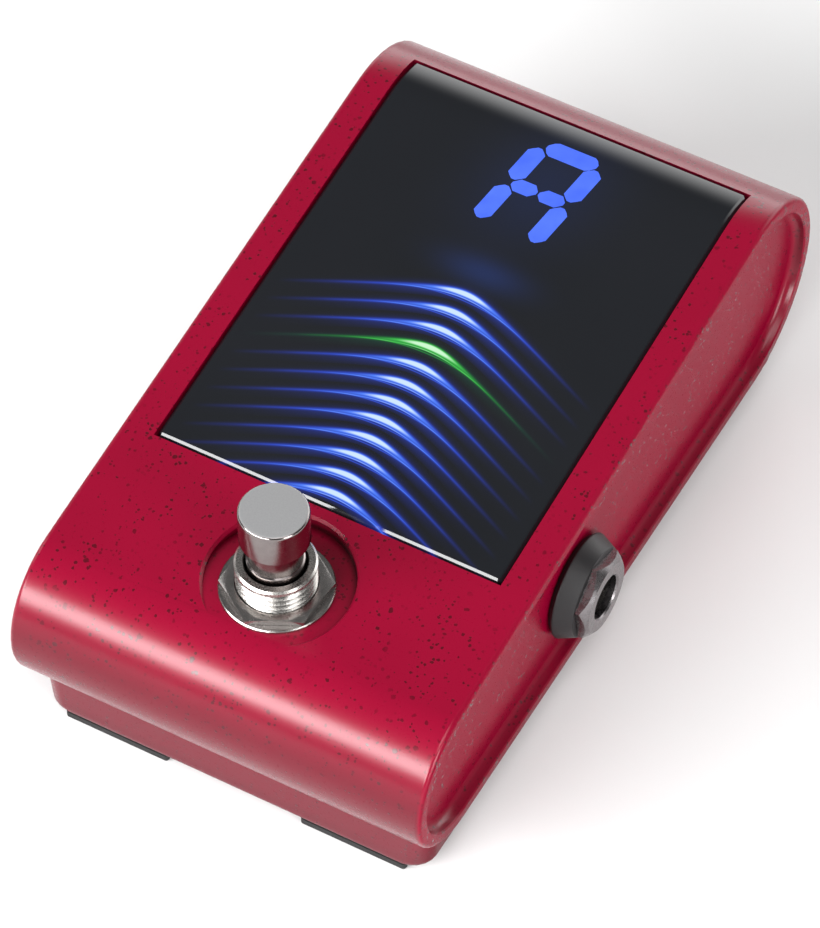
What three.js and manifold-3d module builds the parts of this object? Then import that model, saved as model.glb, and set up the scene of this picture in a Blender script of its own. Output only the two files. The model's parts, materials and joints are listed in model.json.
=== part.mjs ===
// A compact floor tuner for a guitar: a wedge-shaped die-cast case with a curved display window,
// a footswitch in a round recess, a jack socket on each side and a battery tray underneath.
// Millimetres, +Z up. X runs across the case, the footswitch end faces -Y, and z = 0 is the floor.

import * as THREE from 'three';
import { mergeVertices } from 'three/addons/utils/BufferGeometryUtils.js';
import Module from 'manifold-3d';

const wasm = await Module();
wasm.setup();

// ---------------------------------------------------------------- driving dimensions

const GAP = 0.3;                                 // clearance around a piece in a hole or pocket
const SEAT = 0.05;                               // clearance between two faces that rest together

// Side outline of the upper case: the band around two circles that stand on one level line.
const NOSE = { y: -46.2, z: 18.8, r: 12.5 };     // front roll
const TAIL = { y: 41.6, z: 23.4, r: 17.1 };      // rear roll
const HALF_WIDTH = 32.4;
const EDGE_ROUND = 0.8;                          // rounding of the long edges
const RIM_WIDTH = 2.3;                           // raised rim around each side panel
const PANEL_X = 30.5;                            // outer face of the recessed side panel
const CASE_WALL = 3.0;
const CAVITY_HALF_WIDTH = 28.2;
const CAVITY_REAR_Y = 51.9;
const REAR_PANEL_Y = 55.2;                       // flat recessed panel in the rear roll
const REAR_PANEL = { halfWidth: 23, low: 15.5, high: 28.5 };

// Display window, measured along the top surface from the footswitch axis.
const WINDOW = { start: 13.4, end: 88.4, halfWidth: 27.4, depth: 1.9, ledge: 2.2 };
const LENS = { thickness: 1.6, bevel: 0.55 };

// Lower case: a tray with sloping sides.
const BASE = { front: -54.1, rear: 53.1, bottom: 1.0, halfWidth: 30.6, draft: 0.09 };
const BASE_CORNER = 3.4;
const BASE_ROUND = { side: 1.4, end: 0.8, steps: 4 };   // rounding of the bottom edges
const BASE_WALL = 2.2;
const BASE_FLOOR = 2.2;
const BASE_SPLIT_Z = 20;                         // the walls are made this tall, then cut to the case

const FOOT = { inner: 10.7, outer: 27.3, depth: 8.0, inset: 0.15, corner: 0.4 };

const BATTERY = { lowX: -26.2, highX: 22.3, lowY: 6.0, highY: 32.5, lowZ: 4.2, highZ: 21.7 };
const SNAP = { thickness: 3.2, inset: 0.8 };     // the connector on the battery's terminals
const DOOR = { halfWidth: 26.6, front: 3.0, rear: 36.0, thickness: 1.8 };
const DOOR_PIN = { r: 0.6, length: 1.2, clearance: 0.08 };
const DOOR_TAB = { halfWidth: 6.0, reach: 1.6 };

// Footswitch, all on one upright axis.
const SWITCH_Y = -40.1;
const RECESS = { radius: 10.6, setBack: 0.8, floorZ: 31.1, chamfer: 0.4 };
const RECESS_Y = SWITCH_Y + RECESS.setBack;
const RECESS_FLOOR = 2.8;
const BUSHING = { r: 5.75, bore: 4.36, topZ: 37.1, pitch: 1.0, groove: 0.35 };
const WASHER = { r: 8.1, thickness: 0.5 };
const NUT = { acrossFlats: 13.9, height: 1.0, turn: 27 };
const INNER_NUT_HEIGHT = 1.8;
const CAP = { r: 4.95, topZ: 48.05, height: 5.95, round: 0.5 };
const STEM = { r: 4.12, waist: 3.85, shoulderZ: 38.0 };
const PLUNGER_FOOT = { r: 5.2, thickness: 1.2, topZ: 23.2 };
const SWITCH_BODY = { halfWidth: 8.4, halfDepth: 7.2, topZ: 25.4, bottomZ: 10.6, wall: 1.4 };
const SPRING = { r: 3.6, wire: 0.35, turns: 5 };
const LUG_X = 4.6;

// Jack sockets, one on each side, on one axis across the case.
const JACK = { y: -11.5, z: 18.5, bore: 3.35 };
const COLLAR = { footR: 7.2, r: 7.95, edge: 0.85, rim: 0.3, height: 3.55, topR: 6.8 };
const JACK_NUT = { acrossFlats: 11.5, faceX: 35.9, faceR: 5.3, height: 1.75, taper: 1.15, lip: 1.2, turn: 39 };
const FERRULE_R = 4.5;
const JACK_BODY = { outerX: 27.6, innerX: 9.6, halfDepth: 7.0, halfHeight: 6.2 };

const DC_JACK = { x: 13.0, z: 22.0, barrelR: 4.0, bore: 2.75, pinR: 1.0, innerY: 41.0, half: 4.6 };
const BUTTON = { z: 22.0, r: 2.1, flangeR: 3.0, proud: 0.9, travel: 0.5 };
const BUTTON_X = { calibration_button: -6.0, display_button: -16.0 };
const KEY_SWITCH = { halfWidth: 2.9, frontY: 45.6, rearY: 48.4 };
const REAR_BOARD = { lowX: -21, highX: 0, lowY: 43.7, highY: 45.2, lowZ: 15.5, highZ: 26.5 };

const MAIN_BOARD = { halfWidth: 24, lowY: -27, highY: 39, lowZ: 25.1, highZ: 26.5 };
const DISPLAY_BOARD = { start: 18, end: 78, upper: 5.0, lower: 6.4, halfWidth: 24.5 };
const DIFFUSER = { start: 14.5, end: 87.5, upper: 3.3, lower: 3.8, halfWidth: 26.8 };
const METER_LEDS = { count: 12, first: 21, step: 3.2, height: 0.8, size: 0.8 };

const SCREW_SPOTS = { front_left: [-25.4, -38.5], front_right: [25.4, -38.5],
  rear_left: [-25.4, 41.5], rear_right: [25.4, 41.5] };
const SCREW = { headR: 2.6, headZ: 1.5, headHeight: 1.5, shankR: 1.4, tipZ: 16.5 };

// ---------------------------------------------------------------- paint and metal

const RED_PAINT = { color: 0x9c1238, roughness: 0.38, metalness: 0.25 };
const NICKEL = { color: 0xc9c6c2, roughness: 0.22, metalness: 1.0 };
const DARK_STEEL = { color: 0x5d5b60, roughness: 0.35, metalness: 0.9 };
const BLACK_PLASTIC = { color: 0x141416, roughness: 0.5, metalness: 0.0 };
const BLACK_ACRYLIC = { color: 0x15181c, roughness: 0.08, metalness: 0.0 };
const RUBBER = { color: 0x1b1b1c, roughness: 0.85, metalness: 0.0 };
const BOARD_GREEN = { color: 0x1d5a36, roughness: 0.6, metalness: 0.0 };
const SPRING_STEEL = { color: 0xb8b8ba, roughness: 0.3, metalness: 1.0 };
const TIN = { color: 0xd0cfc8, roughness: 0.35, metalness: 1.0 };
const WHITE_PLASTIC = { color: 0xe6e8ea, roughness: 0.5, metalness: 0.0 };
const BATTERY_SLEEVE = { color: 0x2c3038, roughness: 0.4, metalness: 0.4 };
const RED_SLEEVE = { color: 0xb01818, roughness: 0.5, metalness: 0.0 };
const BLACK_SLEEVE = { color: 0x101010, roughness: 0.5, metalness: 0.0 };

// ---------------------------------------------------------------- solids and meshes

function solid(geometry) {
  const plain = geometry.clone();
  plain.deleteAttribute('normal');
  plain.deleteAttribute('uv');
  const merged = mergeVertices(plain, 1e-4);
  const vertProperties = new Float32Array(merged.getAttribute('position').array);
  const triVerts = new Uint32Array(merged.getIndex().array);
  return new wasm.Manifold(new wasm.Mesh({ numProp: 3, vertProperties, triVerts }));
}

function geometryOf(manifold) {
  const mesh = manifold.getMesh();
  const geometry = new THREE.BufferGeometry();
  const positions = new Float32Array(mesh.numVert * 3);
  for (let i = 0; i < mesh.numVert; i += 1) {
    for (let k = 0; k < 3; k += 1) {
      positions[3 * i + k] = mesh.vertProperties[i * mesh.numProp + k];
    }
  }
  geometry.setAttribute('position', new THREE.BufferAttribute(positions, 3));
  geometry.setIndex(new THREE.BufferAttribute(new Uint32Array(mesh.triVerts), 1));
  geometry.computeVertexNormals();
  return geometry;
}

function part(name, geometry, finish) {
  const mesh = new THREE.Mesh(geometry, new THREE.MeshStandardMaterial(finish));
  mesh.name = name;
  return mesh;
}

function box(lowX, highX, lowY, highY, lowZ, highZ) {
  const geometry = new THREE.BoxGeometry(highX - lowX, highY - lowY, highZ - lowZ);
  geometry.translate((lowX + highX) / 2, (lowY + highY) / 2, (lowZ + highZ) / 2);
  return geometry;
}

// A turned piece: profile points are [radius, height], and the axis is +Z through (x, y).
function turned(points, segments = 32, x = 0, y = 0) {
  const profile = points.map(([r, z]) => new THREE.Vector2(r, z));
  const geometry = new THREE.LatheGeometry(profile, segments);
  geometry.rotateX(Math.PI / 2);
  geometry.translate(x, y, 0);
  return geometry;
}

// A turned piece whose axis is +X through (y, z); profile points are [radius, x].
function turnedAcross(points, segments, y, z) {
  const geometry = turned(points, segments);
  geometry.rotateY(Math.PI / 2);
  geometry.translate(0, y, z);
  return geometry;
}

// A turned piece whose axis is +Y through (x, z); profile points are [radius, y].
function turnedAlong(points, segments, x, z) {
  const geometry = turned(points, segments);
  geometry.rotateX(-Math.PI / 2);
  geometry.translate(x, 0, z);
  return geometry;
}

function disc(r, low, high) {
  return [[0, low], [r, low], [r, high], [0, high]];
}

// A flat outline in the side view, [y, z] points, drawn out along X between two planes.
function sideExtrusion(points, lowX, highX, bevel = 0) {
  const shape = new THREE.Shape(points.map(([y, z]) => new THREE.Vector2(y, z)));
  const geometry = new THREE.ExtrudeGeometry(shape, {
    depth: highX - lowX - 2 * bevel,
    bevelEnabled: bevel > 0,
    bevelThickness: bevel,
    bevelSize: bevel,
    bevelOffset: -bevel,
    bevelSegments: 1,
  });
  geometry.translate(0, 0, lowX + bevel);
  const sideToRow = new THREE.Matrix4().makeBasis(
    new THREE.Vector3(0, 1, 0), new THREE.Vector3(0, 0, 1), new THREE.Vector3(1, 0, 0));
  geometry.applyMatrix4(sideToRow);
  return geometry;
}

// ---------------------------------------------------------------- the case outline

const CENTRE_SLOPE = Math.atan2(TAIL.z - NOSE.z, TAIL.y - NOSE.y);
const CENTRE_DISTANCE = Math.hypot(TAIL.z - NOSE.z, TAIL.y - NOSE.y);
const TAPER = Math.asin((TAIL.r - NOSE.r) / CENTRE_DISTANCE);
const TOP_SLOPE = CENTRE_SLOPE + TAPER;
const BOTTOM_SLOPE = CENTRE_SLOPE - TAPER;

function onCircle(circle, angle, inset) {
  const r = circle.r - inset;
  return [circle.y + r * Math.cos(angle), circle.z + r * Math.sin(angle)];
}

// The closed outline, counter-clockwise in (y, z), moved inwards by inset.
function sideOutline(inset, noseSteps = 22, tailSteps = 24) {
  const top = Math.PI / 2 + TOP_SLOPE;
  const bottom = 1.5 * Math.PI + BOTTOM_SLOPE;
  const points = [];
  for (let i = 0; i <= noseSteps; i += 1) {
    points.push(onCircle(NOSE, top + (bottom - top) * i / noseSteps, inset));
  }
  for (let i = 0; i <= tailSteps; i += 1) {
    const start = bottom - 2 * Math.PI;
    points.push(onCircle(TAIL, start + (top - start) * i / tailSteps, inset));
  }
  return points;
}

const TOP_TANGENT = onCircle(NOSE, Math.PI / 2 + TOP_SLOPE, 0);
const TAIL_TANGENT = onCircle(TAIL, Math.PI / 2 + TOP_SLOPE, 0);
const ORIGIN_Z = TOP_TANGENT[1] + (SWITCH_Y - TOP_TANGENT[0]) * Math.tan(TOP_SLOPE);
const FLAT_LENGTH = Math.hypot(TAIL_TANGENT[0] - SWITCH_Y, TAIL_TANGENT[1] - ORIGIN_Z);

// The point [y, z] at a distance along the top surface from the footswitch axis, below the skin.
function underTop(along, depth) {
  if (along <= FLAT_LENGTH) {
    return [
      SWITCH_Y + along * Math.cos(TOP_SLOPE) + depth * Math.sin(TOP_SLOPE),
      ORIGIN_Z + along * Math.sin(TOP_SLOPE) - depth * Math.cos(TOP_SLOPE),
    ];
  }
  const angle = Math.PI / 2 + TOP_SLOPE - (along - FLAT_LENGTH) / TAIL.r;
  return onCircle(TAIL, angle, depth);
}

// A strip that follows the top surface between two depths, bevelled along its upper ends.
function topStrip(start, end, upper, lower, bevel = 0, curveSteps = 6) {
  const stops = [start];
  const curveStart = Math.min(Math.max(FLAT_LENGTH, start), end);
  for (let i = 0; i < curveSteps; i += 1) {
    stops.push(curveStart + (end - curveStart) * i / curveSteps);
  }
  stops.push(end);
  const inner = stops.slice(1, -1).filter((along) => along > start + bevel && along < end - bevel);
  const over = [start + bevel, ...inner, end - bevel].map((along) => underTop(along, upper));
  const under = [start, ...inner, end].map((along) => underTop(along, lower)).reverse();
  const ends = bevel > 0
    ? [[underTop(start, upper + bevel)], [underTop(end, upper + bevel)]]
    : [[], []];
  return [...ends[0], ...over, ...ends[1], ...under].reverse();
}

// A closed skin through rings of the side outline; each ring is [x, inset], from -X to +X.
function loftAcross(rings) {
  const count = sideOutline(0).length;
  const positions = [];
  const index = [];
  for (const [x, inset] of rings) {
    for (const [y, z] of sideOutline(inset)) {
      positions.push(x, y, z);
    }
  }
  const middle = [(NOSE.y + TAIL.y) / 2, (NOSE.z + TAIL.z) / 2];
  const first = positions.length / 3;
  positions.push(rings[0][0], ...middle, rings[rings.length - 1][0], ...middle);
  const lastRing = (rings.length - 1) * count;
  for (let j = 0; j < count; j += 1) {
    const next = (j + 1) % count;
    index.push(first, next, j);
    index.push(first + 1, lastRing + j, lastRing + next);
    for (let i = 0; i + 1 < rings.length; i += 1) {
      const a = i * count;
      const b = a + count;
      index.push(a + j, a + next, b + j, a + next, b + next, b + j);
    }
  }
  const geometry = new THREE.BufferGeometry();
  geometry.setAttribute('position', new THREE.Float32BufferAttribute(positions, 3));
  geometry.setIndex(index);
  return geometry;
}

// ---------------------------------------------------------------- upper case

function caseSkin() {
  const side = [[HALF_WIDTH - EDGE_ROUND, 0]];
  const roundSteps = 4;
  for (let i = 1; i <= roundSteps; i += 1) {
    const angle = Math.PI / 2 * i / roundSteps;
    side.push([
      HALF_WIDTH - EDGE_ROUND + EDGE_ROUND * Math.sin(angle),
      EDGE_ROUND * (1 - Math.cos(angle)),
    ]);
  }
  side.push([HALF_WIDTH, RIM_WIDTH - 0.2]);
  side.push([HALF_WIDTH - 0.2, RIM_WIDTH]);
  const cove = 1.2;
  const coveSteps = 3;
  for (let i = 0; i <= coveSteps; i += 1) {
    const angle = Math.PI / 2 * i / coveSteps;
    side.push([PANEL_X + cove * (1 - Math.sin(angle)), RIM_WIDTH + 0.1 + cove * (1 - Math.cos(angle))]);
  }
  const mirrored = side.map(([x, inset]) => [-x, inset]).reverse();
  return solid(loftAcross([...mirrored, ...side]));
}

function caseCavity() {
  const hollow = solid(loftAcross([[-CAVITY_HALF_WIDTH, CASE_WALL], [CAVITY_HALF_WIDTH, CASE_WALL]]));
  return hollow.intersect(solid(box(-60, 60, -80, CAVITY_REAR_Y, -10, 80)));
}

function footswitchRecess() {
  const sink = solid(turned(disc(RECESS.radius, RECESS.floorZ, 60), 64, 0, RECESS_Y));
  const lead = RECESS.chamfer;
  const cone = turned([[0, -lead], [RECESS.radius, -lead], [RECESS.radius + 2 * lead, lead], [0, lead]], 64);
  cone.rotateX(TOP_SLOPE);
  cone.translate(0, RECESS_Y, ORIGIN_Z + RECESS.setBack * Math.sin(TOP_SLOPE));
  const aboveFloor = solid(box(-30, 30, RECESS_Y - 30, RECESS_Y + 30, RECESS.floorZ, 60));
  return sink.add(solid(cone).intersect(aboveFloor));
}

function drilled(body, r, highZ, [x, y]) {
  return body.subtract(solid(turned(disc(r, -5, highZ), 20, x, y)));
}

function upperHousing() {
  const skin = caseSkin();
  let body = skin.subtract(caseCavity());
  const floorLow = RECESS.floorZ - RECESS_FLOOR;
  const post = solid(turned(disc(RECESS.radius + 2, floorLow, ORIGIN_Z - 1.5), 48, 0, RECESS_Y));
  body = body.add(post.intersect(skin));
  const openings = [
    box(-21.5, 21.5, BASE.front + 7, BASE.rear - 6, -5, 12),
    box(-27.5, 27.5, SCREW_SPOTS.front_left[1] + 5, SCREW_SPOTS.rear_left[1] - 5, -5, 12),
  ];
  for (const opening of openings) {
    body = body.subtract(solid(opening));
  }
  for (const [x, y] of Object.values(SCREW_SPOTS)) {
    const boss = turned(disc(3.4, NOSE.z - NOSE.r + 0.3, SCREW.tipZ + 2), 20, x, y);
    body = drilled(body.add(solid(boss)), SCREW.shankR + GAP, SCREW.tipZ + 0.8, [x, y]);
  }
  const pocket = topStrip(WINDOW.start, WINDOW.end, -3, WINDOW.depth);
  const sight = topStrip(WINDOW.start + WINDOW.ledge, WINDOW.end - WINDOW.ledge, 0.5, 5);
  const sightHalf = WINDOW.halfWidth - WINDOW.ledge;
  const cuts = [
    sideExtrusion(pocket, -WINDOW.halfWidth, WINDOW.halfWidth),
    sideExtrusion(sight, -sightHalf, sightHalf),
    turned(disc(BUSHING.r + GAP, 20, 50), 40, 0, SWITCH_Y),
    turnedAcross(disc(FERRULE_R + GAP, -60, 60), 40, JACK.y, JACK.z),
    box(-REAR_PANEL.halfWidth, REAR_PANEL.halfWidth, REAR_PANEL_Y, 70, REAR_PANEL.low, REAR_PANEL.high),
    turnedAlong(disc(DC_JACK.barrelR + GAP, CAVITY_REAR_Y - 3, 70), 32, DC_JACK.x, DC_JACK.z),
  ];
  for (const x of Object.values(BUTTON_X)) {
    cuts.push(turnedAlong(disc(BUTTON.r + GAP, CAVITY_REAR_Y - 3, 70), 24, x, BUTTON.z));
  }
  for (const cut of cuts) {
    body = body.subtract(solid(cut));
  }
  return geometryOf(body.subtract(footswitchRecess()));
}

// ---------------------------------------------------------------- lower case

// A rounded rectangle in plan, counter-clockwise.
function roundedOutline(lowX, highX, lowY, highY, corner, steps = 5) {
  const corners = [
    [highX - corner, highY - corner, 0],
    [lowX + corner, highY - corner, Math.PI / 2],
    [lowX + corner, lowY + corner, Math.PI],
    [highX - corner, lowY + corner, 1.5 * Math.PI],
  ];
  const points = [];
  for (const [x, y, start] of corners) {
    for (let i = 0; i <= steps; i += 1) {
      const angle = start + Math.PI / 2 * i / steps;
      points.push([x + corner * Math.cos(angle), y + corner * Math.sin(angle)]);
    }
  }
  return points;
}

// A closed skin through level outlines; each level is [outline, z], from the bottom up.
function loftUp(levels) {
  const count = levels[0][0].length;
  const positions = [];
  const index = [];
  for (const [outline, z] of levels) {
    for (const [x, y] of outline) {
      positions.push(x, y, z);
    }
  }
  const centreX = levels[0][0].reduce((sum, point) => sum + point[0], 0) / count;
  const centreY = levels[0][0].reduce((sum, point) => sum + point[1], 0) / count;
  const bottom = positions.length / 3;
  positions.push(centreX, centreY, levels[0][1], centreX, centreY, levels[levels.length - 1][1]);
  const lastRing = (levels.length - 1) * count;
  for (let j = 0; j < count; j += 1) {
    const next = (j + 1) % count;
    index.push(bottom, next, j, bottom + 1, lastRing + j, lastRing + next);
    for (let i = 0; i + 1 < levels.length; i += 1) {
      const a = i * count;
      const b = a + count;
      index.push(a + j, a + next, b + j, a + next, b + next, b + j);
    }
  }
  const geometry = new THREE.BufferGeometry();
  geometry.setAttribute('position', new THREE.Float32BufferAttribute(positions, 3));
  geometry.setIndex(index);
  return geometry;
}

// The tray's outline in plan, drawn in from its walls at the sides and at the ends.
function trayOutline(z, sideInset, endInset) {
  const half = BASE.halfWidth + BASE.draft * (z - BASE.bottom) - sideInset;
  return roundedOutline(-half, half, BASE.front + endInset, BASE.rear - endInset, BASE_CORNER);
}

function quarterRound(rise, radius) {
  const short = Math.max(0, 1 - rise / radius);
  return radius * (1 - Math.sqrt(1 - short * short));
}

function lowerCase() {
  const levels = [];
  const { side, end, steps } = BASE_ROUND;
  for (let i = 0; i <= steps; i += 1) {
    const rise = side * (1 - Math.cos(Math.PI / 2 * i / steps));
    const z = BASE.bottom + rise;
    levels.push([trayOutline(z, quarterRound(rise, side), quarterRound(rise, end)), z]);
  }
  const outer = solid(loftUp([...levels, [trayOutline(BASE_SPLIT_Z, 0, 0), BASE_SPLIT_Z]]));
  const floorZ = BASE.bottom + BASE_FLOOR;
  const inner = solid(loftUp([
    [trayOutline(floorZ, BASE_WALL, BASE_WALL), floorZ],
    [trayOutline(BASE_SPLIT_Z, BASE_WALL, BASE_WALL), BASE_SPLIT_Z + 1],
  ]));
  let body = outer.subtract(inner);
  for (const [x, y] of Object.values(SCREW_SPOTS)) {
    body = body.add(solid(turned(disc(3.8, BASE.bottom + 0.5, 10), 20, x, y)).intersect(outer));
  }
  body = body.subtract(solid(loftAcross([[-60, -GAP], [60, -GAP]])));
  for (const spot of Object.values(SCREW_SPOTS)) {
    body = drilled(body, SCREW.shankR + GAP, 20, spot);
    body = drilled(body, SCREW.headR + GAP, SCREW.headZ + SCREW.headHeight + SEAT, spot);
  }
  const hatch = box(-DOOR.halfWidth - GAP, DOOR.halfWidth + GAP, DOOR.front - GAP, DOOR.rear + GAP, 0, 8);
  const notch = box(-DOOR_TAB.halfWidth - GAP, DOOR_TAB.halfWidth + GAP,
    DOOR.rear, DOOR.rear + DOOR_TAB.reach + GAP, 0, 8);
  const pinReach = DOOR.halfWidth + DOOR_PIN.length + GAP;
  const pinHole = disc(DOOR_PIN.r + DOOR_PIN.clearance, -pinReach, pinReach);
  const { y, z } = doorAxis();
  for (const cut of [hatch, notch, turnedAcross(pinHole, 24, y, z)]) {
    body = body.subtract(solid(cut));
  }
  return geometryOf(body);
}

// ---------------------------------------------------------------- battery compartment

function doorAxis() {
  return { y: DOOR.front + DOOR.thickness / 2, z: BASE.bottom + DOOR.thickness / 2 };
}

// The hatch: a plate whose front edge is rounded about its pins, with a finger tab at the rear.
function batteryDoor() {
  const half = DOOR.thickness / 2;
  const { y, z } = doorAxis();
  const points = [[DOOR.rear, z - half], [DOOR.rear, z + half]];
  const steps = 8;
  for (let i = 0; i <= steps; i += 1) {
    const angle = Math.PI / 2 + Math.PI * i / steps;
    points.push([y + half * Math.cos(angle), z + half * Math.sin(angle)]);
  }
  let body = solid(sideExtrusion(points, -DOOR.halfWidth, DOOR.halfWidth));
  const pin = disc(DOOR_PIN.r, -DOOR.halfWidth - DOOR_PIN.length, DOOR.halfWidth + DOOR_PIN.length);
  body = body.add(solid(turnedAcross(pin, 24, y, z)));
  const tab = box(-DOOR_TAB.halfWidth, DOOR_TAB.halfWidth, DOOR.rear - 1, DOOR.rear + DOOR_TAB.reach,
    z - half, z + half);
  body = body.add(solid(tab));
  for (let i = -2; i <= 2; i += 1) {
    const groove = box(-6, 6, DOOR.rear - 8 + 1.6 * i, DOOR.rear - 7.2 + 1.6 * i, 0, BASE.bottom + 0.4);
    body = body.subtract(solid(groove));
  }
  return geometryOf(body);
}

function battery() {
  const { lowX, highX, lowY, highY, lowZ, highZ } = BATTERY;
  const cell = loftUp([
    [roundedOutline(lowY, highY, lowZ, highZ, 2.2), lowX],
    [roundedOutline(lowY, highY, lowZ, highZ, 2.2), highX],
  ]);
  cell.applyMatrix4(new THREE.Matrix4().makeBasis(
    new THREE.Vector3(0, 1, 0), new THREE.Vector3(0, 0, 1), new THREE.Vector3(1, 0, 0)));
  return cell;
}

function batterySnap() {
  const start = BATTERY.highX + GAP;
  const outline = roundedOutline(BATTERY.lowY + SNAP.inset, BATTERY.highY - SNAP.inset,
    BATTERY.lowZ + SNAP.inset, BATTERY.highZ - SNAP.inset, 3);
  const plate = loftUp([[outline, start], [outline, start + SNAP.thickness]]);
  plate.applyMatrix4(new THREE.Matrix4().makeBasis(
    new THREE.Vector3(0, 1, 0), new THREE.Vector3(0, 0, 1), new THREE.Vector3(1, 0, 0)));
  return plate;
}

// An insulated lead from the battery connector up to the main board's edge.
function batteryLead(y) {
  const besideSnap = BATTERY.highX + GAP + SNAP.thickness + 0.9;
  const route = new THREE.CatmullRomCurve3([
    new THREE.Vector3(besideSnap, y, 14),
    new THREE.Vector3(besideSnap + 0.2, y, 19),
    new THREE.Vector3(besideSnap - 0.9, y, 22.6),
    new THREE.Vector3(MAIN_BOARD.halfWidth - 1, y, MAIN_BOARD.lowZ - 0.8),
  ]);
  const section = new THREE.Shape();
  section.absarc(0, 0, 0.55, 0, 2 * Math.PI);
  return new THREE.ExtrudeGeometry(section, { extrudePath: route, steps: 16, curveSegments: 4 });
}

// ---------------------------------------------------------------- feet and screws

function foot(side, end) {
  const lowX = side < 0 ? -FOOT.outer : FOOT.inner;
  const highX = side < 0 ? -FOOT.inner : FOOT.outer;
  const edge = end < 0 ? BASE.front + FOOT.inset : BASE.rear - FOOT.inset - FOOT.depth;
  const outline = roundedOutline(lowX, highX, edge, edge + FOOT.depth, FOOT.corner, 3);
  return loftUp([[outline, 0], [outline, BASE.bottom - SEAT]]);
}

function caseScrew([x, y]) {
  const { headR, headZ, headHeight, shankR, tipZ } = SCREW;
  const profile = [[0, headZ], [headR - 0.5, headZ], [headR, headZ + 0.6], [headR, headZ + headHeight],
    [shankR, headZ + headHeight], [shankR, tipZ - 1.4], [0, tipZ]];
  let body = solid(turned(profile, 20, x, y));
  const slotDepth = headZ + 0.9;
  const reach = 1.5;
  const half = 0.3;
  body = body.subtract(solid(box(x - reach, x + reach, y - half, y + half, 0, slotDepth)));
  body = body.subtract(solid(box(x - half, x + half, y - reach, y + reach, 0, slotDepth)));
  return geometryOf(body);
}

// ---------------------------------------------------------------- footswitch

// A hexagonal nut around the Z axis, chamfered at its upper corners, with a plain hole.
function hexNut(acrossFlats, height, hole, turnDegrees) {
  const cornerR = acrossFlats / 2 / Math.cos(Math.PI / 6);
  const chamfer = 0.4;
  const prism = new THREE.CylinderGeometry(cornerR, cornerR, height, 6);
  prism.rotateX(Math.PI / 2);
  prism.rotateZ(THREE.MathUtils.degToRad(turnDegrees + 90));
  prism.translate(0, 0, height / 2);
  const envelope = turned([[0, 0], [cornerR + 0.02, 0], [cornerR + 0.02, height - chamfer],
    [cornerR - 3 * chamfer, height], [0, height]], 48);
  const drill = turned(disc(hole, -1, height + 1), 40);
  return solid(prism).intersect(solid(envelope)).subtract(solid(drill));
}

const WASHER_Z = RECESS.floorZ + SEAT;
const NUT_Z = WASHER_Z + WASHER.thickness + SEAT;

function footswitchWasher() {
  const top = WASHER_Z + WASHER.thickness;
  const profile = [[BUSHING.r + GAP, WASHER_Z], [WASHER.r, WASHER_Z], [WASHER.r, top - 0.15],
    [WASHER.r - 0.15, top], [BUSHING.r + GAP, top], [BUSHING.r + GAP, WASHER_Z]];
  return turned(profile, 48, 0, SWITCH_Y);
}

function footswitchNut() {
  const nut = hexNut(NUT.acrossFlats, NUT.height, BUSHING.r + 0.1, NUT.turn);
  return geometryOf(nut).translate(0, SWITCH_Y, NUT_Z);
}

function footswitchInnerNut() {
  const nut = hexNut(NUT.acrossFlats, INNER_NUT_HEIGHT, BUSHING.r + 0.1, 0);
  const top = RECESS.floorZ - RECESS_FLOOR - SEAT;
  return geometryOf(nut).translate(0, SWITCH_Y, top - INNER_NUT_HEIGHT);
}

// The threaded barrel: ring grooves at the thread's pitch, and a lip around the bore.
function footswitchBushing() {
  const { r, bore, topZ, pitch, groove } = BUSHING;
  const base = SWITCH_BODY.topZ + SEAT;
  const profile = [[bore, base], [r - groove, base]];
  const turns = Math.floor((topZ - 1.0 - base) / pitch);
  for (let i = 0; i < turns; i += 1) {
    profile.push([r - groove, base + pitch * (i + 0.2)], [r, base + pitch * (i + 0.6)]);
  }
  profile.push([r - groove, topZ - 1.0], [r, topZ - 0.7], [r, topZ - 0.4], [r - 0.4, topZ]);
  profile.push([bore + 0.2, topZ], [bore, topZ - 0.3], [bore, base]);
  return turned(profile, 40, 0, SWITCH_Y);
}

function footswitchBody() {
  const { halfWidth, halfDepth, topZ, bottomZ, wall } = SWITCH_BODY;
  const outline = roundedOutline(-halfWidth, halfWidth, SWITCH_Y - halfDepth, SWITCH_Y + halfDepth, 1, 2);
  const can = solid(loftUp([[outline, bottomZ], [outline, topZ]]));
  const chamber = solid(turned(disc(PLUNGER_FOOT.r + GAP, bottomZ + wall, topZ - wall), 32, 0, SWITCH_Y));
  const mouth = solid(turned(disc(STEM.r + GAP, topZ - 3, topZ + 1), 32, 0, SWITCH_Y));
  return geometryOf(can.subtract(chamber).subtract(mouth));
}

function footswitchLug(x) {
  const top = SWITCH_BODY.bottomZ - SEAT;
  const blade = solid(box(x - 1.2, x + 1.2, SWITCH_Y - 0.4, SWITCH_Y + 0.4, top - 4.6, top));
  const eye = turnedAlong(disc(0.6, SWITCH_Y - 2, SWITCH_Y + 2), 12, x, top - 3.2);
  return geometryOf(blade.subtract(solid(eye)));
}

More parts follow.
